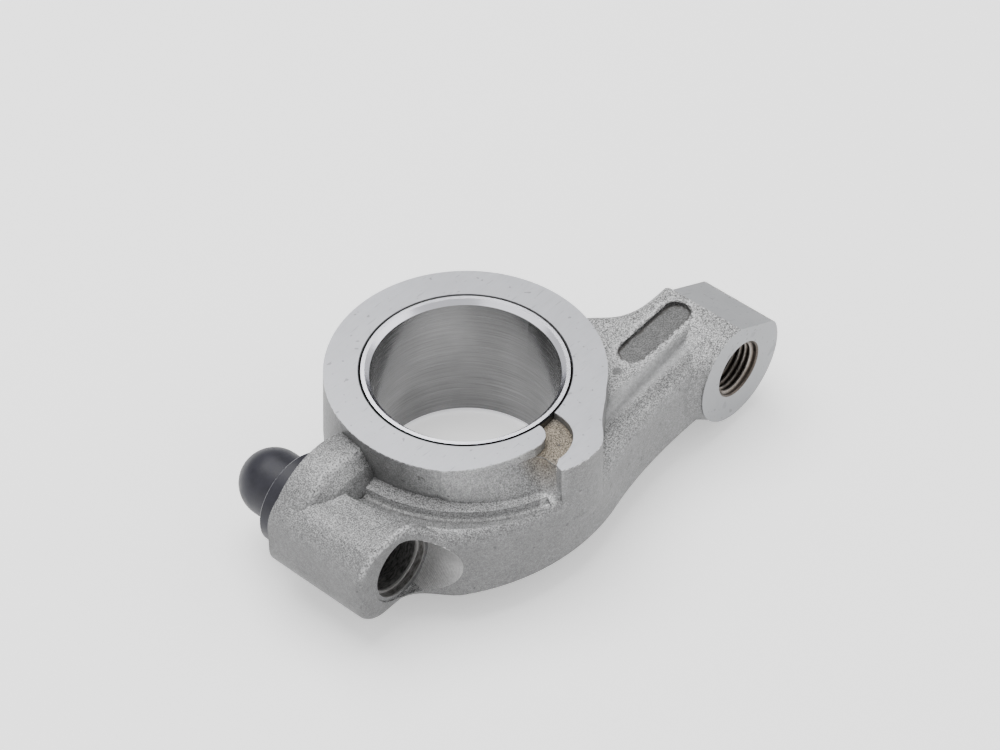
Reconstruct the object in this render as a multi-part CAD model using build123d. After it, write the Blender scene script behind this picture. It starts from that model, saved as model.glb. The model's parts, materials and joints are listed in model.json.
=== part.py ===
from build123d import *
import math
import os

# Rocker arm: a cast lever with a pressed bearing bush and a pressed ball pin.
# The origin is the centre of the main bore at mid width. +Z runs along the bore, +X points
# along the arm to the boss of the adjusting screw, and +Y is the side on which the ball
# stands out. The pin and the screw both run along Y. All sizes are in millimetres.

# Hub and bearing bush
hub_width = 30.6
hub_face_radius = 27.3
hub_draft = 2.0
bush_outer_radius = 20.5
bush_wall = 2.0
bush_chamfer = 0.9
bush_lead = 0.3

# Lever arms, from the bore axis to the two working axes
pin_arm = 35.8
screw_arm = 46.8

# Beam that joins the two bosses and passes in front of the hub
beam_top = 8.0
beam_bottom = 9.8
beam_top_edge = 3.4
beam_low_edge = 2.0
belly_reach = 32.8
belly_radius = 43.5
belly_offset = 2.5
arm_front_reach = 28.6
arm_rear_reach = 11.0
arm_top_edge = 4.5
gutter_radius = 30.7
gutter_width = 4.4
gutter_depth = 1.5
gutter_start = 181.5
gutter_sweep = 69.5

# Pin boss: a block in front and a higher round collar behind
pin_front = 15.7
pin_rear = 8.0
pin_boss_top = 9.8
pin_boss_bottom = 9.2
pin_boss_side = 11.4
pin_boss_corner = 6.6
pin_boss_roll = 12.0
pin_boss_edge = 1.4
pin_collar_radius = 14.4
pin_collar_inset = 3.1
pin_collar_front = 0.6
pin_collar_slope = 3.2
pin_collar_foot = 1.8
pin_collar_edge = 1.6

# Socket of the pin boss
socket_radius = 6.6
socket_depth = 1.9
shank_radius = 6.1
spotface_radius = 7.5

# Ball pin
shank_end = 4.0
flange_radius = 9.65
flange_thickness = 4.3
flange_chamfer = 0.4
flange_clearance = 0.4
ball_radius = 6.94
ball_reach = 24.2
neck_flare = 0.5

# Screw boss
screw_front = 30.7
screw_rear = 11.9
screw_boss_radius = 12.0
screw_boss_shift = 0.5
screw_boss_edge = 1.5
thread_radius = 6.0
thread_mouth = 0.3
screw_seat_radius = 8.4
facet_start = 10.9
facet_angle = 26.5
facet_blend = 3.4
flare_depth = 6.4

# Rib and recessed pad on the arm
rib_top = 10.9
rib_slope = 2.8
rib_edge_radius = 2.2
rib_step_radius = 1.2
step_reach = 24.4
step_turn = 3.2
pad_length = 19.2
pad_width = 5.8
pad_depth = 0.8
pad_x = 35.6
pad_y = 17.9

# Lobe of the hub, with the oil pocket and the chute beside it
lobe_reach = 33.1
chute_tilt = 7.2
chute_bend = 2.4
pocket_depth = 1.8
pocket_fall = 4.5
pocket_flow = 200.0

half_width = hub_width / 2
bush_bore_radius = bush_outer_radius - bush_wall


def hub():
    """Drafted ring around the bore, widest at the parting plane."""
    mid_radius = hub_face_radius + half_width * math.tan(math.radians(hub_draft))
    with BuildSketch(Plane.XZ) as section:
        Polygon(
            (0, -half_width),
            (hub_face_radius, -half_width),
            (mid_radius, 0),
            (hub_face_radius, half_width),
            (0, half_width),
            align=None,
        )
    return revolve(section.sketch, Axis.Z)


def lever_outline():
    """Plan outline of the lever, from the far side of the pin boss to the screw boss."""
    belly_centre = Vector(-belly_offset, belly_radius - belly_reach)
    left = math.radians(-126)
    right = math.radians(-76)
    belly_left = belly_centre + Vector(math.cos(left), math.sin(left)) * belly_radius
    belly_right = belly_centre + Vector(math.cos(right), math.sin(right)) * belly_radius
    belly_low = belly_centre + Vector(0, -belly_radius)
    left_tangent = Vector(-math.sin(left), math.cos(left))
    right_tangent = Vector(-math.sin(right), math.cos(right))
    flank_start = Vector(-pin_arm - 3.0, -pin_front)
    far_left = -pin_arm - pin_boss_side - 4
    arm_end = Vector(screw_arm - 11.5, -arm_front_reach)
    rear_end = Vector(screw_arm, -arm_rear_reach)
    rear_start = Vector(hub_face_radius - 0.6, 3.0)
    with BuildSketch() as plan:
        with BuildLine():
            Spline(flank_start, belly_left, tangents=(Vector(1, 0), left_tangent))
            ThreePointArc(belly_left, belly_low, belly_right)
            Spline(belly_right, arm_end, tangents=(right_tangent, Vector(1, 0)))
            Polyline(arm_end, (screw_arm, -arm_front_reach), rear_end)
            Spline(
                rear_end,
                (screw_arm - 8.0, 0.6 - arm_rear_reach),
                (screw_arm - 11.5, 2.2 - arm_rear_reach),
                (screw_arm - 14.2, 5.0 - arm_rear_reach),
                rear_start,
                tangents=(Vector(-1, 0), Vector(-0.4, 1)),
            )
            Polyline(
                rear_start,
                (12, -10),
                (-12, -10),
                (-20, pin_rear),
                (far_left, pin_rear),
                (far_left, -pin_front),
                flank_start,
            )
        make_face()
    return plan.sketch


def plan_slice(start, end):
    """The part of the plan outline between two stations along the lever."""
    middle = (start + end) / 2
    return lever_outline() & Pos(middle, -15) * Rectangle(end - start, 70)


def level_edges(solid, height):
    """Edges of a solid that lie wholly at one height."""
    return solid.edges().filter_by(
        lambda e: abs((e @ 0).Z - height) < 0.01 and abs((e @ 1).Z - height) < 0.01
    )


def on_front(point):
    """True on the front outline of the lever, clear of its flat ends."""
    return point.Y < -pin_front - 0.2 and point.X < screw_arm - 0.1 and abs(point.X) > 0.1


def on_rear(point):
    """True on the rear outline of the arm, clear of the hub."""
    clear_of_hub = point.X > hub_face_radius + 2
    return clear_of_hub and point.Y > -arm_rear_reach - 0.2


def belly():
    """Beam between the pin boss and the middle of the hub, with a rounded top edge."""
    height = beam_top + beam_bottom
    start = -pin_arm - 3.0
    solid = Pos(0, 0, -beam_bottom) * extrude(plan_slice(start, 0), amount=height)
    low = level_edges(solid, -beam_bottom).filter_by(lambda e: on_front(e @ 0.5))
    solid = chamfer(low, beam_low_edge)
    top = level_edges(solid, beam_top).filter_by(lambda e: on_front(e @ 0.5))
    return fillet(top, beam_top_edge)


def arm():
    """Arm to the screw boss: a high rear half that drops to a valley in front."""
    height = rib_top + beam_bottom
    solid = Pos(0, 0, -beam_bottom) * extrude(plan_slice(0, screw_arm), amount=height)
    solid -= above_rib(0)
    low = level_edges(solid, -beam_bottom).filter_by(
        lambda e: on_front(e @ 0.5) or on_rear(e @ 0.5)
    )
    solid = chamfer(low, beam_low_edge)
    rear = solid.edges().filter_by(
        lambda e: on_rear(e @ 0.5) and (e @ 0.5).Z > 0 and abs((e @ 0).X - (e @ 1).X) > 1
    )
    solid = fillet(rear, rib_edge_radius)
    solid -= front_step()
    crest = solid.edges().filter_by(
        lambda e: abs((e @ 0.5).Y + step_reach - 0.6) < 3
        and (e @ 0.5).Z > (beam_top + rib_top) / 2
        and abs((e @ 0).X - (e @ 1).X) > screw_arm / 2
    )
    solid = fillet(crest, rib_step_radius)
    roll = solid.edges().filter_by(
        lambda e: on_front(e @ 0.5)
        and (e @ 0.5).Z > beam_top - 2
        and (e @ 0.5).Y < -arm_front_reach + 0.5
        and abs((e @ 0).X - (e @ 1).X) > 1
    )
    return fillet(roll, arm_top_edge)


def above_rib(sink):
    """Space above the rib, whose top rises gently towards the screw boss."""
    hinge = Pos(screw_arm, 0, rib_top - sink) * Rot(0, -rib_slope, 0)
    return hinge * Box(160, 160, 20, align=(Align.CENTER, Align.CENTER, Align.MIN))


def front_step():
    """Cutter for the front half of the arm: a steep step down, fading to the boss."""
    high = rib_top + 6
    with BuildSketch(Plane.YZ.offset(-1)) as near:
        with BuildLine():
            step = FilletPolyline(
                (-step_reach, high),
                (-step_reach, rib_top),
                (-step_reach - 2.2, beam_top - 1.0),
                (-45, beam_top - 0.8),
                radius=1.2,
            )
            Polyline(step @ 1, (-45, high), step @ 0)
        make_face()
    with BuildSketch(Plane.YZ.offset(screw_arm + 1)) as far:
        with BuildLine():
            step = FilletPolyline(
                (step_turn - step_reach, high),
                (step_turn - step_reach, rib_top),
                (step_turn - step_reach - 1.2, beam_top + 0.9),
                (-45, beam_top + 1.1),
                radius=0.4,
            )
            Polyline(step @ 1, (-45, high), step @ 0)
        make_face()
    return loft([near.sketch, far.sketch], ruled=True)


def pin_boss():
    """Block that carries the socket."""
    side = -pin_arm - pin_boss_side
    roll = -pin_arm - 1.2
    right = roll + pin_boss_roll - 0.5
    with BuildSketch(Plane.XZ) as block:
        with BuildLine():
            upper = ThreePointArc(
                (right, pin_boss_top - pin_boss_roll * 0.72),
                (roll + pin_boss_roll * 0.62, pin_boss_top - pin_boss_roll * 0.215),
                (roll, pin_boss_top),
            )
            left = FilletPolyline(
                upper @ 1,
                (side, pin_boss_top),
                (side, -pin_boss_bottom),
                (roll, -pin_boss_bottom),
                radius=pin_boss_corner,
            )
            Line(left @ 1, (right, -pin_boss_bottom))
            Line((right, -pin_boss_bottom), upper @ 0)
        make_face()
    bar = extrude(block.sketch, amount=pin_front)
    bar += extrude(block.sketch, amount=-pin_rear)
    upper_half = Box(200, 200, 40, align=(Align.CENTER, Align.CENTER, Align.MIN))
    bar += extrude(block.sketch, amount=pin_front + 15) & upper_half
    plan = plan_slice(-pin_arm - 20, -pin_arm + 16)
    solid = bar & (Pos(0, 0, -20) * extrude(plan, amount=40))
    lip = solid.edges().filter_by(
        lambda e: (e @ 0.5).Y < -pin_front + 0.01
        and (e @ 0.5).Z > 0.5
        and max((e @ 0).Z, (e @ 1).Z) > 2
        and (e @ 0.5).X < -pin_arm + 9
    )
    return fillet(lip, pin_boss_edge)


def pin_collar():
    """Round collar behind the block, in which the flange of the pin sits."""
    ridge = pin_collar_slope - pin_collar_front
    slope_radius = pin_collar_radius - pin_collar_slope
    with BuildSketch() as section:
        with BuildLine():
            side = FilletPolyline(
                (pin_collar_radius, pin_rear),
                (pin_collar_radius, ridge),
                (slope_radius, -pin_collar_front),
                (slope_radius - 4.0, -pin_collar_front - pin_collar_foot),
                radius=pin_collar_edge,
            )
            Polyline(side @ 1, (0, -pin_collar_front - pin_collar_foot), (0, pin_rear), side @ 0)
        make_face()
    return Pos(-pin_arm + pin_collar_inset, 0, 0) * revolve(section.sketch, Axis.Y)


def screw_boss():
    """Round boss for the adjusting screw, with one slanted machined facet."""
    with BuildSketch(Plane.XZ) as section:
        with Locations((screw_arm + screw_boss_shift, -0.3)):
            Circle(screw_boss_radius)
        slope = math.radians(facet_angle)
        reach = 20
        end_x = screw_arm + reach * math.cos(slope)
        end_z = facet_start - reach * math.sin(slope)
        with BuildLine():
            Polyline(
                (screw_arm, facet_start),
                (end_x, end_z),
                (end_x, facet_start + reach),
                (screw_arm - reach, facet_start + reach),
                (screw_arm - reach, facet_start),
                (screw_arm, facet_start),
            )
        make_face(mode=Mode.SUBTRACT)
        end = section.vertices().filter_by(lambda v: v.X > screw_arm + 5 and v.Y > 2)
        fillet(end, facet_blend)
    depth = screw_front - screw_rear
    boss = Pos(0, -screw_rear, 0) * extrude(section.sketch, amount=depth)
    back = boss.edges().group_by(Axis.Y)[-1]
    return chamfer(back, screw_boss_edge)


def screw_boss_flare():
    """Trumpet-shaped blend between the arm and the screw boss."""
    left_x = screw_arm + screw_boss_shift + 0.1 - screw_boss_radius
    with BuildSketch(Plane.XZ.offset(screw_front - 0.3)) as near:
        with BuildLine():
            left = ThreePointArc(
                (screw_arm - 3.8, facet_start - 0.2),
                (left_x, -0.3),
                (screw_arm - 2.0, 0.2 - screw_boss_radius),
            )
            Line(left @ 1, left @ 0)
        make_face()
    with BuildSketch(Plane.XZ.offset(screw_front - flare_depth)) as far:
        with BuildLine():
            left = Spline(
                (screw_arm - 3.8, facet_start - 0.2),
                (screw_arm - 5.6, 10.0),
                (screw_arm - 9.0, 8.35),
                (screw_arm - 12.8, 7.2),
                (screw_arm - 18.0, 5.0),
                (screw_arm - 21.0, 0.0),
                (screw_arm - 18.5, -6.0),
                (screw_arm - 10.0, -9.9),
                (screw_arm, -11.2),
            )
            Line(left @ 1, left @ 0)
        make_face()
    flare = loft([near.sketch, far.sketch], ruled=True)
    return flare + extrude(far.sketch, amount=-4)


def lobe():
    """Full-height lobe of the hub, drafted, beside the oil pocket."""
    with BuildSketch() as plan:
        with BuildLine():
            left = Polyline(
                (-1.0, -15.0),
                (-1.5, -26.0),
                (-3.6, -27.8),
                (-6.8, -28.4),
                (-8.0, -29.7),
                (-8.4, -31.2),
            )
            rim = Spline(
                left @ 1,
                (-5.6, 0.6 - lobe_reach),
                (-1.6, 0.1 - lobe_reach),
                (2.2, 0.8 - lobe_reach),
                (5.6, -29.4),
                (11.9, -25.0),
                (15.5, -22.0),
            )
            Line(rim @ 1, left @ 0)
        make_face()
    top = Pos(0, 0, half_width) * plan.sketch
    middle = Pos(0, 0, 1) * scale(plan.sketch, 1.012)
    foot = Pos(0, 0, -beam_bottom) * scale(plan.sketch, 0.93)
    return loft([top, middle], ruled=True) + loft([middle, foot], ruled=True)


def chute_stock():
    """Material under the chute, outside the hub's own wall."""
    with BuildSketch() as plan:
        with BuildLine():
            Polyline(
                (-23.5, -14.5),
                (-22.5, -18.5),
                (-19.0, -23.0),
                (-11.0, -29.4),
                (-8.6, -31.2),
                (-1.0, -31.5),
                (-1.0, -22.0),
                (-23.5, -14.5),
            )
        make_face()
    return extrude(plan.sketch, amount=half_width)


def chute():
    """Cutter over the slope that leads the oil down from the pocket to the beam."""
    with BuildSketch(Plane.XY.offset(half_width)) as upper:
        with BuildLine():
            crest = ThreePointArc((-24.0, -13.6), (-15.0, -21.01), (-5.9, -23.9))
            Polyline(crest @ 1, (-6.6, -32), (-9, -36), (-30, -36), (-40, -15), crest @ 0)
        make_face()
        corner = upper.vertices().filter_by(lambda v: v.X > -6.1 and v.Y > -24.5)
        fillet(corner, chute_bend)
    with BuildSketch(Plane.XY.offset(beam_top - 0.4)) as lower:
        with BuildLine():
            foot = ThreePointArc((-24.6, -13.9), (-18.6, -21.9), (-10.0, -27.9))
            Polyline(foot @ 1, (-8.8, -33), (-9, -36), (-30, -36), (-40, -15), foot @ 0)
        make_face()
        corner = lower.vertices().filter_by(lambda v: v.X > -10.5 and v.Y > -28.5)
        fillet(corner, chute_bend)
    hinge = Axis((-24.0, -13.6, half_width), (10.3, 18.1, 0))
    rim = upper.sketch.rotate(hinge, chute_tilt)
    slope = loft([rim, lower.sketch], ruled=True)
    return slope + extrude(rim, amount=12, dir=(0, 0, 1))


def pocket():
    """Cutter for the oil pocket, open to the bush and to the chute."""
    with BuildSketch() as plan:
        with BuildLine():
            tip = Spline(
                (-2.9, -19.0),
                (-2.4, -21.6),
                (-3.6, -23.2),
                (-5.9, -23.9),
            )
            outer = Spline(
                (-6.5, -28.95),
                (-2.8, -28.6),
                (0.7, -26.3),
                (2.2, -22.2),
                (2.0, -19.0),
            )
            Polyline(
                tip @ 1,
                (-7.8, -23.7),
                (-10.5, -34),
                (-8.4, -34),
                (-8.4, -31.2),
                (-8.0, -29.7),
                outer @ 0,
            )
            Line(outer @ 1, tip @ 0)
        make_face()
    tool = extrude(plan.sketch, amount=half_width + 5)
    floor = half_width - pocket_depth
    fall = math.tan(math.radians(pocket_fall))
    flow = math.radians(pocket_flow)
    along = (math.cos(flow), math.sin(flow), 0)
    across = (math.sin(flow), -math.cos(flow), 0)
    down = Plane((0, -bush_outer_radius, 0), x_dir=along, z_dir=across)
    with BuildSketch(down) as side:
        with BuildLine():
            run = Line((-8, floor + 8 * fall), (16, floor - 16 * fall))
            Polyline(run @ 1, (16, floor + 9), (-8, floor + 9), run @ 0)
        make_face()
    return tool & extrude(side.sketch, amount=25, both=True)


def gutter():
    """Cutter for the oil gutter round the hub: steep towards the hub, gentle outwards."""
    floor = beam_top - gutter_depth
    with BuildSketch(Plane.XZ) as section:
        with BuildLine():
            side = FilletPolyline(
                (gutter_radius - 0.3, beam_top + 3),
                (gutter_radius, beam_top),
                (gutter_radius + 0.9, floor),
                (gutter_radius + gutter_width, beam_top),
                (gutter_radius + gutter_width + 0.6, beam_top + 3),
                radius=0.9,
            )
            Line(side @ 1, side @ 0)
        make_face()
    return Rot(0, 0, gutter_start) * revolve(
        section.sketch, Axis.Z, revolution_arc=gutter_sweep
    )


def pad():
    """Shallow recessed pad with round ends, on top of the rib."""
    with BuildSketch() as plan:
        with Locations((pad_x, -pad_y)):
            SlotOverall(pad_length, pad_width)
    return extrude(plan.sketch, amount=rib_top + 2) & above_rib(pad_depth)


def socket():
    """Stepped bore for the pin, and the scallop that its spotface leaves."""
    axis = Pos(-pin_arm, 0, 0) * Rot(90, 0, 0)
    along = (Align.CENTER, Align.CENTER, Align.MIN)
    bore = axis * Cylinder(shank_radius, 80)
    mouth = axis * Pos(0, 0, pin_front - socket_depth) * Cylinder(socket_radius, 20, align=along)
    scallop = axis * Pos(0, 0, pin_front - 0.3) * Cylinder(spotface_radius, 20, align=along)
    seat = axis * Pos(0, 0, -pin_rear) * Rot(180, 0, 0)
    seat *= Cylinder(flange_radius + flange_clearance, 20, align=along)
    return bore + mouth + scallop + seat


def screw_hole():
    """Tapped hole with a small countersink at both ends."""
    axis = Pos(screw_arm, 0, 0) * Rot(90, 0, 0)
    hole = axis * Cylinder(thread_radius, 100)
    mouth = axis * Pos(0, 0, screw_front - thread_mouth / 2) * Cone(
        thread_radius, thread_radius + thread_mouth, thread_mouth
    )
    back = axis * Pos(0, 0, screw_rear + thread_mouth / 2) * Cone(
        thread_radius + thread_mouth, thread_radius, thread_mouth
    )
    outward = axis * Pos(0, 0, screw_rear) * Rot(180, 0, 0)
    along = (Align.CENTER, Align.CENTER, Align.MIN)
    seat = outward * Cylinder(screw_seat_radius, screw_boss_radius, align=along)
    return hole + mouth + back + seat


def rocker_body():
    """The cast lever: all its masses joined, then the machined cuts."""
    body = hub() + chute_stock() - chute()
    body += belly() + pin_boss()
    body -= gutter()
    body += pin_collar()
    body += arm() + screw_boss() + screw_boss_flare() + lobe()
    body -= pocket()
    body -= pad()
    body -= socket()
    body -= screw_hole()
    body -= Cylinder(bush_outer_radius, hub_width + 2)
    return body


def bush():
    """Plain bearing bush, flush with both faces of the hub."""
    with BuildSketch(Plane.XZ) as section:
        Polygon(
            (bush_bore_radius, half_width - bush_chamfer),
            (bush_bore_radius + bush_chamfer, half_width),
            (bush_outer_radius - bush_lead, half_width),
            (bush_outer_radius, half_width - bush_lead),
            (bush_outer_radius, bush_lead - half_width),
            (bush_outer_radius - bush_lead, -half_width),
            (bush_bore_radius + bush_chamfer, -half_width),
            (bush_bore_radius, bush_chamfer - half_width),
            align=None,
        )
    return revolve(section.sketch, Axis.Z)


def ball_pin():
    """Shank, collar, neck and ball, turned on one axis."""
    flange_end = pin_rear + flange_thickness
    ball_centre = ball_reach - ball_radius
    with BuildSketch() as section:
        with BuildLine():
            CenterArc((0, ball_centre), ball_radius, 0, 90)
            Polyline(
                (ball_radius, ball_centre),
                (ball_radius, flange_end + neck_flare),
                (ball_radius + neck_flare, flange_end),
                (flange_radius - flange_chamfer, flange_end),
                (flange_radius, flange_end - flange_chamfer),
                (flange_radius, pin_rear),
                (shank_radius, pin_rear),
                (shank_radius, -shank_end),
                (0, -shank_end),
                (0, ball_reach),
            )
        make_face()
    return Pos(-pin_arm, 0, 0) * revolve(section.sketch, Axis.Y)


def main():
    os.makedirs("parts", exist_ok=True)
    export_step(rocker_body(), "parts/rocker_body.step")
    export_step(bush(), "parts/bush.step")
    export_step(ball_pin(), "parts/ball_pin.step")


main()
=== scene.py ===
import json
import math
import bpy
from mathutils import Matrix, Vector


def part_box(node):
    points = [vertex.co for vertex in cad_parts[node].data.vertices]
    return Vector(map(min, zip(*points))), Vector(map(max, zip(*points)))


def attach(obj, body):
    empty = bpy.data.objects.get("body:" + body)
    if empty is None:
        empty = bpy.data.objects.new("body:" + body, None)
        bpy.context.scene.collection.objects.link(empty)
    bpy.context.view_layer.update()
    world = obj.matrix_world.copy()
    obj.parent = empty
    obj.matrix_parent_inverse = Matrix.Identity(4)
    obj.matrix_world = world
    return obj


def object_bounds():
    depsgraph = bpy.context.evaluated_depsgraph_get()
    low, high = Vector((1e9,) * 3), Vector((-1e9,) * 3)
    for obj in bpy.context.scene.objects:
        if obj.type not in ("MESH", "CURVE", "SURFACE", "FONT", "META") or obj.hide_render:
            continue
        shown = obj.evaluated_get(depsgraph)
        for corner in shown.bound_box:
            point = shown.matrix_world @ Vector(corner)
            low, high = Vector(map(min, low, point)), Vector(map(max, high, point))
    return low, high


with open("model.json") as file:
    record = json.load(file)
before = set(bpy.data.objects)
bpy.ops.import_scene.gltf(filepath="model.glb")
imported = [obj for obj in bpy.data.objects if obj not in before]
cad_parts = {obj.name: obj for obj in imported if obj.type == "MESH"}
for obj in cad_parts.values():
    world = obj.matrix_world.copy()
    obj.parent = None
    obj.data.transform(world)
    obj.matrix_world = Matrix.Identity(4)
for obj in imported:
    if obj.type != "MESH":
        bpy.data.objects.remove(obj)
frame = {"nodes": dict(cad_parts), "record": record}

cad_low, cad_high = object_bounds()
MM = 0.001
body = frame["nodes"]["rocker_body"]
bush = frame["nodes"]["bush"]
pin = frame["nodes"]["ball_pin"]

# Places read from the frame
half_width = cad_high.z
bush_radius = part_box("bush")[1].x
pin_low, pin_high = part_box("ball_pin")
pin_x = (pin_low.x + pin_high.x) / 2
mounts = {m["name"]: m for m in frame["record"]["mounts"]}
screw = mounts["adjusting_screw_thread"]
screw_x, screw_y, _ = screw["pos_m"]
thread_radius = screw["dims"]["r_mm"] * MM
thread_length = screw["dims"]["length_mm"] * MM

# Places on the casting that the record doesn't give
boss_start_x = 34.0 * MM
boss_front_y = -30.0 * MM
boss_rear_y = -11.9 * MM
boss_facet_normal_x = 0.446
screw_wall_end_y = -11.0 * MM
pad_x = 35.6 * MM
pad_y = -17.9 * MM
pad_half = 6.7 * MM
pad_radius = 2.9 * MM
pad_below_z = 10.3 * MM
rib_flank_y = -23.7 * MM
valley_y = -26.3 * MM
gutter_radius = 31.9 * MM
ridge_y = 2.1 * MM
oil_pocket = Vector((-2.0, -24.5, 12.5)) * MM
hub_wall = Vector((-18.0, -21.0, 11.5)) * MM
collar_slope = Vector((-34.5, 0.8, 12.2)) * MM
gutter_notch = Vector((-10.3, -29.7, 7.6)) * MM
dark_mark = Vector((22.9, -18.9, 10.2)) * MM

# Bore of the pin, with the open socket at its near side and the scallop beside that
pin_bore_radius = 6.3 * MM
pin_bore_end_y = 8.2 * MM
socket_ring_radius = 6.9 * MM
socket_ring_end_y = -12.0 * MM
socket_edge_radius = 7.6 * MM
socket_mouth_y = -15.0 * MM
socket_lip_y = -15.3 * MM
scallop_start_x = pin_x + 3.0 * MM
scallop_end_y = -15.2 * MM

# How much of a facet's normal lies along an axis that the facet is square to, or nearly so
SQUARE = 0.99
NEARLY_SQUARE = 0.9


class Shader:
    """A principled material whose nodes are added by short calls."""

    def __init__(self, name, metallic, roughness, specular=0.5):
        self.mat = bpy.data.materials.new(name)
        self.mat.use_nodes = True
        self.tree = self.mat.node_tree
        self.bsdf = self.tree.nodes["Principled BSDF"]
        self.bsdf.inputs["Metallic"].default_value = metallic
        self.bsdf.inputs["Roughness"].default_value = roughness
        self.bsdf.inputs["Specular IOR Level"].default_value = specular
        self.place = self.node("ShaderNodeTexCoord")

    def node(self, kind, **values):
        n = self.tree.nodes.new(kind)
        for key, value in values.items():
            setattr(n, key, value)
        return n

    def link(self, source, target):
        self.tree.links.new(source, target)

    def feed(self, socket, value):
        if isinstance(value, bpy.types.NodeSocket):
            self.link(value, socket)
        else:
            socket.default_value = value

    def finish(self, colour, normal=None, roughness=None):
        self.feed(self.bsdf.inputs["Base Color"], colour)
        if normal is not None:
            self.link(normal, self.bsdf.inputs["Normal"])
        if roughness is not None:
            self.feed(self.bsdf.inputs["Roughness"], roughness)
        return self.mat

    # Sums

    def math(self, operation, first, second=0.5):
        n = self.node("ShaderNodeMath", operation=operation)
        self.feed(n.inputs[0], first)
        self.feed(n.inputs[1], second)
        return n.outputs[0]

    def times(self, first, *others):
        for other in others:
            first = self.math("MULTIPLY", first, other)
        return first

    def length(self, first, second):
        squares = self.math("ADD", self.times(first, first), self.times(second, second))
        return self.math("SQRT", squares)

    def remap(self, value, low, high, to_low=0.0, to_high=1.0):
        n = self.node("ShaderNodeMapRange")
        for key, v in (("Value", value), ("From Min", low), ("From Max", high)):
            self.feed(n.inputs[key], v)
        n.inputs["To Min"].default_value = to_low
        n.inputs["To Max"].default_value = to_high
        return n.outputs["Result"]

    def band(self, value, centre, full, none, strength=1.0):
        """Strength within one distance of a value, falling to zero at another."""
        apart = self.math("ABSOLUTE", self.math("SUBTRACT", value, centre))
        return self.remap(apart, full, none, strength, 0.0)

    # Places

    def axes(self, output="Object"):
        n = self.node("ShaderNodeSeparateXYZ")
        self.link(self.place.outputs[output], n.inputs[0])
        return n.outputs

    def radius(self, axis, x=0.0):
        """Distance from the line along Y or Z that crosses the X axis at x."""
        place = self.axes()
        other = {"Y": place[2], "Z": place[1]}[axis]
        return self.length(self.math("SUBTRACT", place[0], x), other)

    def near(self, point, full, none, strength=1.0):
        """Strength within one distance of a point, falling to zero at another."""
        n = self.node("ShaderNodeVectorMath", operation="DISTANCE")
        self.link(self.place.outputs["Object"], n.inputs[0])
        n.inputs[1].default_value = point
        return self.remap(n.outputs["Value"], full, none, strength, 0.0)

    def shelter(self, distance):
        """Ambient occlusion, less than one in hollows and along inner corners, used to paint
        shade into them.
        """
        n = self.node("ShaderNodeAmbientOcclusion", samples=8, only_local=True)
        n.inputs["Distance"].default_value = distance
        return n.outputs["AO"]

    # Patterns

    def noise(self, scale, detail=2.0, rough=0.5, vector=None):
        n = self.node("ShaderNodeTexNoise")
        n.inputs["Scale"].default_value = scale
        n.inputs["Detail"].default_value = detail
        n.inputs["Roughness"].default_value = rough
        self.link(vector or self.place.outputs["Object"], n.inputs["Vector"])
        return n.outputs["Fac"]

    def grooves(self, scales, detail, rough):
        """Noise stretched into lines by one scale for each axis."""
        n = self.node("ShaderNodeMapping")
        n.inputs["Scale"].default_value = scales
        self.link(self.place.outputs["Object"], n.inputs["Vector"])
        return self.noise(1.0, detail, rough, n.outputs["Vector"])

    def waves(self, value, pitch):
        return self.math("SINE", self.times(value, 2 * math.pi / pitch))

    def bump(self, height, distance, strength, after=None):
        n = self.node("ShaderNodeBump")
        n.inputs["Distance"].default_value = distance
        n.inputs["Strength"].default_value = strength
        self.link(height, n.inputs["Height"])
        if after is not None:
            self.link(after, n.inputs["Normal"])
        return n.outputs["Normal"]

    # Colours

    def ramp(self, factor, stops, smooth=False):
        n = self.node("ShaderNodeValToRGB")
        n.color_ramp.interpolation = "EASE" if smooth else "LINEAR"
        elements = n.color_ramp.elements
        while len(elements) < len(stops):
            elements.new(0.5)
        for element, (at, colour) in zip(elements, stops):
            element.position = at
            rgb = colour if isinstance(colour, tuple) else (colour,) * 3
            element.color = (*rgb, 1.0)
        self.link(factor, n.inputs["Fac"])
        return n.outputs["Color"]

    def mix(self, factor, first, second, mode="MIX"):
        n = self.node("ShaderNodeMix", data_type="RGBA", blend_type=mode)
        self.feed(n.inputs["Factor"], factor)
        for socket, value in ((n.inputs[6], first), (n.inputs[7], second)):
            self.feed(socket, (*value, 1.0) if isinstance(value, tuple) else value)
        return n.outputs[2]

    def tint(self, colour, by, factor=1.0):
        """The colour times another, or times a gain over one, as far as the factor says."""
        return self.mix(factor, colour, by, "MULTIPLY")

    def spots(self, noise, low, high, strength=1.0):
        """Zero where the noise is under one level, strength where it is over another."""
        return self.ramp(noise, ((low, 0.0), (high, strength)))

    def clouded(self, colour, noise, least):
        """Soft darker patches, down to a share of the colour."""
        return self.tint(colour, self.ramp(noise, ((0.3, least), (0.7, 1.0)), smooth=True))


def pad_rim(s):
    """Distance from the ragged rim of the pad, less than zero inside it."""
    x, y, _ = s.axes()
    along = s.math("SUBTRACT", s.math("ABSOLUTE", s.math("SUBTRACT", x, pad_x)), pad_half)
    along = s.math("MAXIMUM", along, 0.0)
    across = s.math("SUBTRACT", y, pad_y)
    wave = s.times(s.math("SUBTRACT", s.noise(800.0, 2.0, 0.6), 0.5), 2.2 * MM)
    return s.math("ADD", s.math("SUBTRACT", s.length(along, across), pad_radius), wave)


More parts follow.
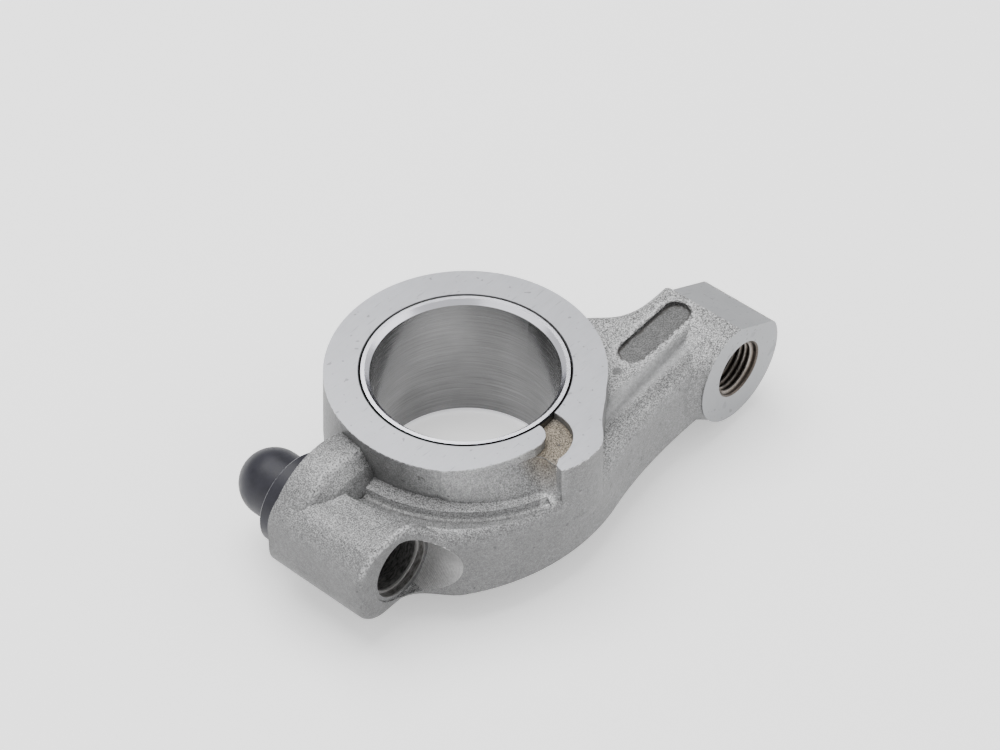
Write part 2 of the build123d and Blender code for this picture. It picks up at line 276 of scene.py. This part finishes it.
def cast_material():
    """Shot blasted casting: grains and brown near the oil pocket, with painted shade in
    hollows, painted highlights at rims, and painted light and shade by place.
    """
    light, mid, dark = (0.56, 0.56, 0.56), (0.256, 0.258, 0.26), (0.05, 0.049, 0.048)
    s = Shader("cast", 0.45, 0.48)
    x, y, z = s.axes()
    facing = s.axes("Normal")[2]
    grain = s.noise(3900.0, 2.0, 0.6)
    lumps = s.noise(1200.0, 2.0, 0.55)
    drift = s.noise(120.0, 3.0, 0.55)

    # Grains, strongest on what faces up, and faint on the flank of the rib
    up = s.remap(facing, 0.3, 0.95, 0.42, 1.0)
    coarse = s.remap(x, 5.0 * MM, 25.0 * MM, 0.8, 1.0)
    oil = s.times(s.near(oil_pocket, 4.0 * MM, 9.5 * MM), s.remap(facing, 0.1, 0.6, 0.25, 1.0))
    smooth = s.times(
        s.band(y, rib_flank_y, 1.1 * MM, 2.1 * MM, 0.8),
        s.remap(x, 35.0 * MM, 42.0 * MM, 1.0, 0.0),
        s.remap(x, 8.0 * MM, 14.0 * MM),
    )
    amount = s.times(up, s.math("MAXIMUM", coarse, oil), s.math("SUBTRACT", 1.0, smooth))
    colour = s.mix(amount, mid, s.ramp(grain, ((0.36, dark), (0.5, mid), (0.64, light))))

    # Painted light and shade: lighter towards the arm's end and on the hub's wall, darker on
    # steep flanks and in the valley
    colour = s.tint(colour, s.remap(x, -40.0 * MM, 30.0 * MM, 0.85, 1.15))
    flank = s.remap(facing, 0.0, 0.6, 1.0, 0.0)
    colour = s.tint(colour, (0.70, 0.70, 0.70), flank)
    # Painted light on the hub's wall above the bench
    wall = s.times(flank, s.near(hub_wall, 9.0 * MM, 16.0 * MM), s.remap(z, 7.8 * MM, 9.0 * MM))
    colour = s.tint(colour, (2.5, 2.5, 2.5), wall)
    # Painted shade in the valley between the rib and the front of the arm
    valley = s.times(
        s.band(y, valley_y, 0.0, 1.43 * MM),
        s.remap(x, 34.0 * MM, 41.0 * MM, 0.5, 0.0),
        s.remap(x, 8.0 * MM, 14.0 * MM),
    )
    colour = s.mix(valley, colour, (0.07, 0.07, 0.07))
    colour = s.clouded(colour, drift, 0.88)
    colour = s.tint(colour, s.ramp(lumps, ((0.3, 0.76), (0.65, 1.0))))
    colour = s.tint(colour, (0.67, 0.565, 0.425), oil)

    # Painted shade in hollows, less so at the collar's slope and the gutter's end; painted
    # shade on the gutter's bed; small pits
    colour = s.tint(colour, s.remap(s.shelter(1.8 * MM), 0.3, 0.75, 0.74, 1.0))
    # Painted light that lifts the shade at the collar's slope and the gutter's end
    slope = s.near(collar_slope, 2.0 * MM, 6.5 * MM, 0.3)
    notch = s.near(gutter_notch, 0.9 * MM, 1.9 * MM)
    colour = s.tint(colour, (2.0, 2.0, 2.0), s.math("MAXIMUM", slope, notch))
    # Painted shade along the bed of the gutter
    bed = s.times(
        s.band(s.radius("Z"), gutter_radius, 0.0, 1.11 * MM),
        s.remap(z, 7.2 * MM, 7.9 * MM, 1.0, 0.0),
        s.remap(x, -18.0 * MM, -9.5 * MM, 0.55, 0.0),
    )
    colour = s.mix(bed, colour, (0.05, 0.05, 0.048))
    pits = s.spots(s.noise(700.0, 1.0), 0.73, 0.75, 0.6)
    colour = s.mix(pits, colour, (0.05, 0.05, 0.05))

    # Painted highlights: bright ragged lines at the pad, the socket's lip, the collar's ridge
    # and the faced edge
    rim = pad_rim(s)
    halo = s.remap(rim, 0.5 * MM, 1.5 * MM, 0.75, 0.0)
    lip = s.times(
        s.band(y, socket_lip_y, 0.3 * MM, 0.7 * MM),
        s.remap(x, -31.5 * MM, -33.5 * MM),
    )
    ridge = s.times(
        s.band(y, ridge_y, 0.3 * MM, 0.9 * MM),
        s.remap(x, -23.0 * MM, -26.0 * MM),
        s.remap(x, -44.0 * MM, -40.0 * MM, 0.15, 1.0),
    )
    lines = s.times(s.math("MAXIMUM", lip, ridge), s.remap(facing, 0.15, 0.4))
    ragged = s.spots(s.noise(2400.0), 0.42, 0.58, 0.9)
    bright = s.times(s.math("MAXIMUM", lines, halo), 0.75, ragged)
    colour = s.mix(bright, colour, (0.62, 0.62, 0.625))
    # Painted highlight along the edge of the faced top
    edge_highlight = s.times(
        s.remap(z, half_width - 0.42 * MM, half_width - 0.12 * MM),
        s.spots(s.noise(1500.0, 3.0), 0.40, 0.62, 0.8),
    )
    colour = s.mix(edge_highlight, colour, (0.80, 0.80, 0.81))

    # Painted shade as a dark line round the pad, and the one dark mark beside it
    rim_shade = s.band(rim, 0.0, 0.0, 0.435 * MM, 0.9)
    colour = s.mix(rim_shade, colour, (0.02, 0.019, 0.018))
    mark = s.near(dark_mark, 0.9 * MM, 1.3 * MM, 0.75)
    colour = s.mix(mark, colour, (0.07, 0.07, 0.07))

    normal = s.bump(lumps, 0.3 * MM, 0.42, s.bump(grain, 0.16 * MM, 0.6))
    return s.finish(colour, normal, s.remap(grain, 0.3, 0.7, 0.40, 0.58))


def pad_material():
    """Rough dull floor of the pad, with painted shade as a dark ragged line at its rim."""
    s = Shader("pad_floor", 0.4, 0.55)
    grain = s.noise(3600.0, 2.0, 0.6)
    cloud = s.noise(420.0, 3.0, 0.6)
    colour = s.ramp(grain, ((0.36, 0.06), (0.5, 0.10), (0.64, 0.16)))
    colour = s.clouded(colour, cloud, 0.8)
    # Painted shade in the inner corner along the pad's rim
    rim = s.remap(pad_rim(s), -0.55 * MM, -0.2 * MM, 0.0, 0.85)
    colour = s.mix(rim, colour, (0.045, 0.043, 0.04))
    normal = s.bump(cloud, 0.3 * MM, 0.3, s.bump(grain, 0.14 * MM, 0.4))
    return s.finish(colour, normal)


def machined_material(name, tone, scales, roughness):
    """Faced or milled surface with fine lines, small pits and the seam round the bush."""
    s = Shader(name, 0.75, roughness)
    lines = s.grooves(scales, 3.0, 0.6)
    colour = s.ramp(lines, ((0.3, tuple(0.93 * c for c in tone)), (0.7, tone)))
    colour = s.clouded(colour, s.noise(160.0), 0.95)
    pits = s.spots(s.noise(900.0, 1.0), 0.70, 0.74, 0.55)
    colour = s.mix(pits, colour, (0.14, 0.14, 0.14))
    nicks = s.spots(s.grooves((260.0, 1900.0, 260.0), 1.0, 0.5), 0.69, 0.72, 0.35)
    colour = s.mix(nicks, colour, (0.16, 0.16, 0.17))
    seam = s.remap(s.radius("Z"), bush_radius + 0.12 * MM, bush_radius + 0.24 * MM)
    colour = s.mix(seam, (0.008, 0.008, 0.009), colour)
    rough = s.remap(lines, 0.3, 0.7, roughness - 0.05, roughness + 0.07)
    return s.finish(colour, s.bump(lines, 0.02 * MM, 0.35), rough)


def turned_material(name, tone, x, pitch, metallic, roughness, least):
    """Turned surface with rings round the line along Y that crosses the X axis at x."""
    s = Shader(name, metallic, roughness)
    wobble = s.times(s.noise(300.0), pitch * 2.2)
    phase = s.math("ADD", s.math("ADD", s.radius("Y", x), s.axes()[1]), wobble)
    lines = s.remap(s.waves(phase, pitch), -1.0, 1.0)
    colour = s.ramp(lines, ((0.0, tuple(least * c for c in tone)), (1.0, tone)))
    grain = s.ramp(s.noise(2500.0, 2.0, 0.6), ((0.35, 0.15), (0.65, 0.75)))
    colour = s.mix(0.25, colour, grain, "OVERLAY")
    return s.finish(colour, s.bump(lines, 0.02 * MM, 0.5))


def socket_material(name, tone):
    """Dark wall of the socket, with painted highlights as bright lines at its two edges."""
    s = Shader(name, 0.4, 0.36)
    y = s.axes()[1]
    grain = s.grooves((900.0, 2600.0, 900.0), 3.0, 0.6)
    colour = s.mix(0.6, tone, s.ramp(grain, ((0.35, 0.03), (0.65, 0.24))))
    # Painted highlights on the chamfer and along the mouth and the inner edge
    step = s.remap(s.math("ABSOLUTE", s.axes("Normal")[1]), 0.6, 0.8, 0.0, 0.8)
    mouth = s.remap(y, -15.25 * MM, -15.05 * MM, 0.75, 0.0)
    inner = s.times(
        s.remap(y, -13.55 * MM, -13.3 * MM, 0.7, 0.0),
        s.remap(y, -13.85 * MM, -13.75 * MM),
    )
    edge = s.math("MAXIMUM", step, s.math("MAXIMUM", mouth, inner))
    colour = s.mix(edge, colour, (0.45, 0.445, 0.44))
    return s.finish(colour, s.bump(grain, 0.03 * MM, 0.5))


def bush_material():
    """Honed bore with fine rings, bright faced ends, and the dark seam round it."""
    s = Shader("bearing_steel", 1.0, 0.26)
    marks = s.grooves((70.0, 70.0, 7000.0), 4.0, 0.65)
    colour = s.ramp(marks, ((0.3, (0.14, 0.14, 0.14)), (0.7, (0.27, 0.27, 0.272))))
    colour = s.clouded(colour, s.noise(90.0), 0.78)
    flat = s.remap(s.math("ABSOLUTE", s.axes("Normal")[2]), 0.4, 0.7)
    colour = s.mix(flat, colour, (0.78, 0.78, 0.84))
    outside = s.remap(s.radius("Z"), bush_radius - 0.4 * MM, bush_radius - 0.33 * MM)
    colour = s.mix(outside, colour, (0.10, 0.10, 0.10))
    colour = s.mix(s.times(outside, flat), colour, (0.006, 0.006, 0.007))
    rough = s.remap(marks, 0.3, 0.7, 0.16, 0.30)
    return s.finish(colour, s.bump(marks, 0.03 * MM, 0.25), rough)


def pin_material():
    """Satin black oxide with faint turning rings, worn at the rim of the collar."""
    s = Shader("black_oxide", 0.0, 0.42, 0.32)
    y = s.axes()[1]
    cloud = s.noise(420.0, 3.0, 0.6)
    colour = s.ramp(cloud, ((0.3, (0.008, 0.008, 0.013)), (0.7, (0.015, 0.015, 0.023))))
    edge = s.times(
        s.remap(s.radius("Y", pin_x), 9.3 * MM, 9.4 * MM),
        s.remap(y, 11.9 * MM, 12.0 * MM),
        s.spots(s.noise(1800.0, 3.0), 0.42, 0.68, 0.7),
    )
    colour = s.mix(edge, colour, (0.2, 0.2, 0.215))
    grain = s.bump(s.noise(2600.0, 2.0, 0.6), 0.04 * MM, 0.35)
    normal = s.bump(s.waves(y, 0.45 * MM), 0.006 * MM, 0.25, grain)
    return s.finish(colour, normal, s.remap(cloud, 0.3, 0.7, 0.38, 0.5))


def thread_material():
    """Cut thread: bright crests, with painted shade darkening it to dark brown in the roots."""
    s = Shader("thread", 0.85, 0.34)
    crest, flank, root = (0.29, 0.27, 0.25), (0.22, 0.19, 0.165), (0.042, 0.034, 0.028)
    # Painted shade: darker with depth into the thread
    depth = s.remap(
        s.radius("Y", screw_x), thread_radius - 0.62 * MM, thread_radius - 0.12 * MM
    )
    colour = s.ramp(depth, ((0.0, crest), (0.45, flank), (1.0, root)))
    grain = s.noise(1800.0, 3.0, 0.6)
    colour = s.mix(0.35, colour, s.ramp(grain, ((0.35, 0.2), (0.65, 0.8))), "OVERLAY")
    return s.finish(colour, s.bump(grain, 0.04 * MM, 0.5))


def floor_material():
    s = Shader("floor", 0.0, 0.8, 0.2)
    s.bsdf.inputs["Emission Color"].default_value = (1.0, 1.0, 1.0, 1.0)
    s.bsdf.inputs["Emission Strength"].default_value = 0.5
    return s.finish(s.ramp(s.noise(30.0), ((0.0, 0.90), (1.0, 0.92))))


# Finishes of the casting, by kind of facet
finishes = {
    "cast": cast_material(),
    "top": machined_material("top_face", (0.43, 0.435, 0.462), (300.0, 2600.0, 300.0), 0.36),
    "milled": machined_material("milled", (0.295, 0.301, 0.312), (2400.0, 500.0, 500.0), 0.42),
    "pad": pad_material(),
    "scallop": turned_material(
        "scallop", (0.445, 0.443, 0.443), pin_x, 0.32 * MM, 0.55, 0.38, 0.72
    ),
    "socket_ring": socket_material("socket_ring", (0.15, 0.14, 0.13)),
    "socket_bore": socket_material("socket_bore", (0.06, 0.057, 0.054)),
    "screw_wall": turned_material(
        "screw_wall", (0.12, 0.10, 0.085), screw_x, 0.3 * MM, 0.8, 0.45, 0.8
    ),
}


def face_kind(centre, normal):
    """Which finish a facet of the casting has, by its place and direction."""
    x, y, z = centre
    from_hub = math.hypot(x, y)
    from_pin = math.hypot(x - pin_x, z)
    from_screw = math.hypot(x - screw_x, z)
    from_pad = math.hypot(max(0.0, abs(x - pad_x) - pad_half), y - pad_y)
    on_wall = abs(normal.y) < NEARLY_SQUARE
    at_edge = from_pin < socket_edge_radius
    if abs(normal.z) > SQUARE and abs(abs(z) - half_width) < 0.03 * MM:
        return "top"
    if from_hub < bush_radius + 0.1 * MM:
        return "scallop"
    if from_screw < thread_radius + 0.5 * MM and y < screw_wall_end_y and on_wall:
        return "screw_wall"
    if x > boss_start_x and abs(normal.y) > SQUARE:
        if y < boss_front_y or abs(y - boss_rear_y) < 0.1 * MM:
            return "milled"
    if x > screw_x - MM and z > 0 and abs(normal.x - boss_facet_normal_x) < 0.06:
        return "milled"
    if from_pin < pin_bore_radius and y < pin_bore_end_y:
        return "socket_bore"
    if at_edge and y < socket_mouth_y and abs(normal.y) > NEARLY_SQUARE:
        return "cast"
    if from_pin < socket_ring_radius and y < socket_ring_end_y:
        return "socket_ring"
    if at_edge and y < scallop_end_y and x > scallop_start_x and on_wall:
        return "scallop"
    if from_pad < pad_radius and normal.z > SQUARE and z < pad_below_z:
        return "pad"
    return "cast"


def dress(node):
    """Gives each facet of the casting the slot of its finish."""
    kinds = list(finishes)
    node.data.materials.clear()
    for kind in kinds:
        node.data.materials.append(finishes[kind])
    for polygon in node.data.polygons:
        kind = face_kind(polygon.center, polygon.normal)
        polygon.material_index = kinds.index(kind)


def plain(node, material):
    node.data.materials.clear()
    node.data.materials.append(material)


def add(name, data):
    thing = bpy.data.objects.new(name, data)
    bpy.context.scene.collection.objects.link(thing)
    return thing


def make_thread():
    """Ridges of the M12 x 1.25 internal thread, as one helical strip in the plain hole."""
    pitch = 1.25 * MM
    steps = 72
    foot, crest = 0.02 * MM, 0.64 * MM
    # Place as a share of the pitch, and height above the wall
    profile = ((0.0, foot), (0.34, crest), (0.53, crest), (0.87, foot), (1.0, foot))
    inset = 0.17 * MM
    mouth = screw_y - thread_length / 2 + inset
    back = screw_y + thread_length / 2 - inset
    start = mouth - 0.6 * pitch
    rows = int((back - start) / pitch * steps)
    vertices = []
    faces = []
    for i in range(rows + 1):
        angle = 2 * math.pi * i / steps
        for part, height in profile:
            y = min(max(start + (i / steps + part) * pitch, mouth), back)
            radius = thread_radius - min(height, foot + y - mouth)
            x, z = radius * math.cos(angle), radius * math.sin(angle)
            vertices.append((screw_x + x, y, z))
    width = len(profile)
    tiny = 1e-6
    for i in range(rows):
        for k in range(width - 1):
            a = i * width + k
            corners = (a, a + 1, a + 1 + width, a + width)
            along = [vertices[j][1] for j in corners]
            if max(along) > mouth + tiny and min(along) < back - tiny:
                faces.append(corners)
    mesh = bpy.data.meshes.new("thread")
    mesh.from_pydata(vertices, [], faces)
    for polygon in mesh.polygons:
        polygon.use_smooth = False
    mesh.materials.append(thread_material())
    piece = add("screw_thread", mesh)
    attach(piece, "root")


def make_floor():
    """Plain pale floor under the part, which lies on the side face of its hub."""
    size = 3.0
    z = cad_low.z
    corners = [(-size, -size, z), (size, -size, z), (size, size, z), (-size, size, z)]
    mesh = bpy.data.meshes.new("floor")
    mesh.from_pydata(corners, [], [(0, 1, 2, 3)])
    mesh.materials.append(floor_material())
    add("floor", mesh)


def area_light(name, place, size, power):
    """Square light that faces the part."""
    light = bpy.data.lights.new(name, "AREA")
    light.size = size
    light.energy = power
    turn = (-Vector(place)).to_track_quat("-Z", "Y").to_matrix().to_4x4()
    add(name, light).matrix_world = Matrix.Translation(place) @ turn


def make_lights():
    world = bpy.data.worlds.new("studio")
    bpy.context.scene.world = world
    world.use_nodes = True
    background = world.node_tree.nodes["Background"]
    background.inputs["Color"].default_value = (1.0, 1.0, 1.0, 1.0)
    background.inputs["Strength"].default_value = 0.78
    area_light("top_box", (0.05, 0.25, 0.9), 0.8, 12.5)
    area_light("front_box", (0.55, -0.6, 0.6), 0.8, 3.0)
    area_light("left_box", (-0.7, 0.25, 0.45), 1.0, 2.6)


def make_camera():
    """The photograph's own view of the part."""
    place = Vector((-0.3379, -0.3025, 0.4680))
    right = Vector((0.6561, -0.7547, 0.0)).normalized()
    forward = Vector((0.5331, 0.4634, -0.7079)).normalized()
    up = right.cross(forward)
    lens = bpy.data.cameras.new("camera")
    lens.lens = 120.456
    lens.sensor_width = 36.0
    camera = add("camera", lens)
    turn = Matrix((right, up, -forward)).transposed().to_4x4()
    camera.matrix_world = Matrix.Translation(place) @ turn
    bpy.context.scene.camera = camera


dress(body)
plain(bush, bush_material())
plain(pin, pin_material())
make_thread()
make_floor()
make_lights()
make_camera()
